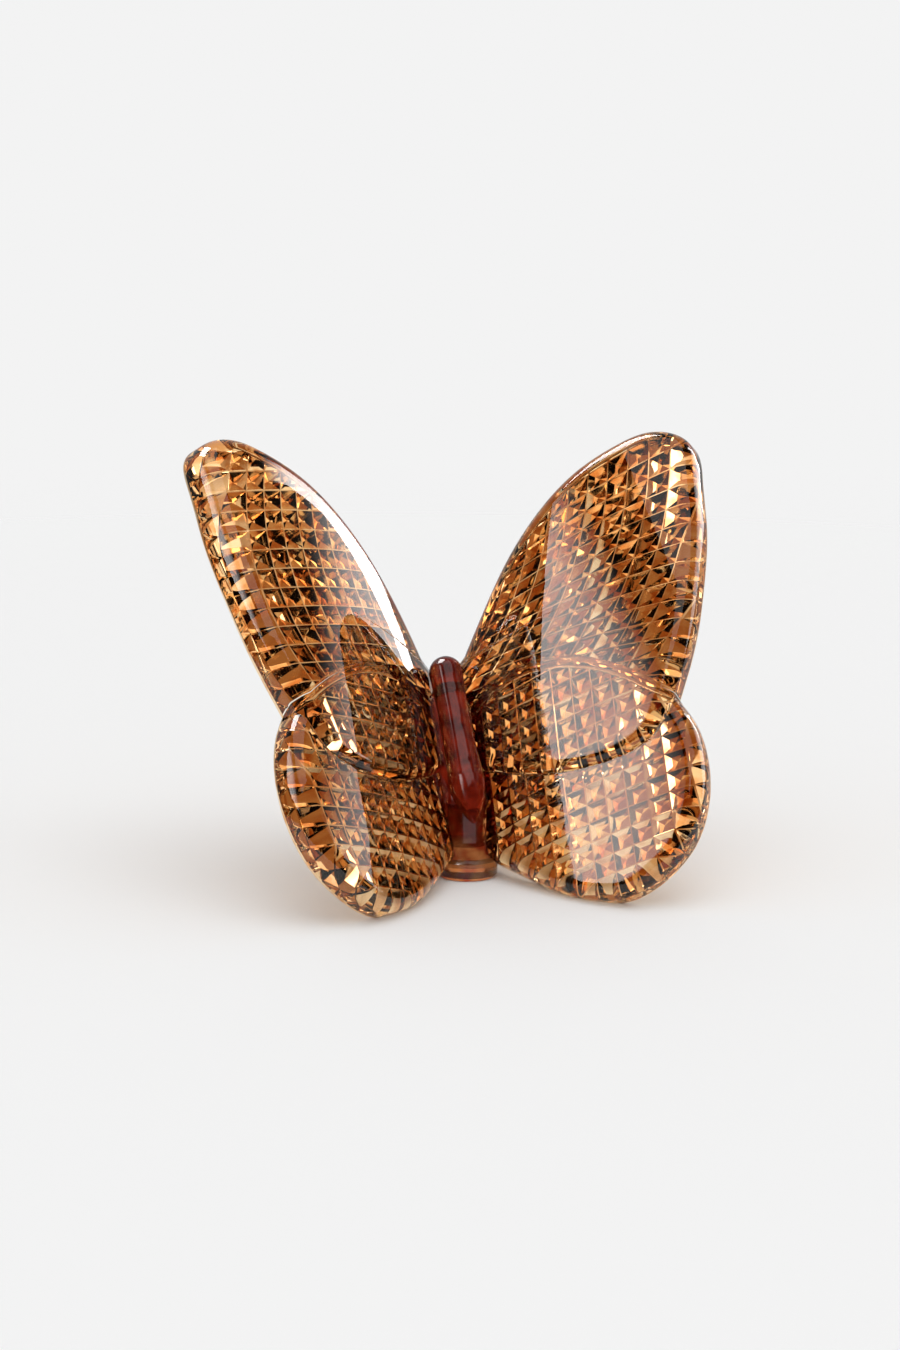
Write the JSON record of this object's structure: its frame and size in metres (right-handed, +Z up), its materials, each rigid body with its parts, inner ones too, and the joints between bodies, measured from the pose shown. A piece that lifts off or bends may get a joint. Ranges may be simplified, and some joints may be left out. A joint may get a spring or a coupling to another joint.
{
  "type": "butterfly ornament",
  "caption": "Amber crystal butterfly ornament leaning back on a flared foot, its wings open in a V with glossy fronts and a diamond-point relief on their backs.",
  "frame": {"origin": "centre of the foot's flat base, on the surface that the ornament stands on", "axes": "+Z up, +X to the right seen from the front, the glossy front faces -Y"},
  "size_m": [0.0706, 0.0419, 0.057],
  "materials": {
    "amber_crystal": "polished amber crystal with a gold-brown lustre"
  },
  "bodies": {
    "root": {"body": "amber_crystal", "foot": "amber_crystal", "left_forewing": "amber_crystal", "right_forewing": "amber_crystal", "left_hindwing": "amber_crystal", "right_hindwing": "amber_crystal"}
  },
  "joints": []
}
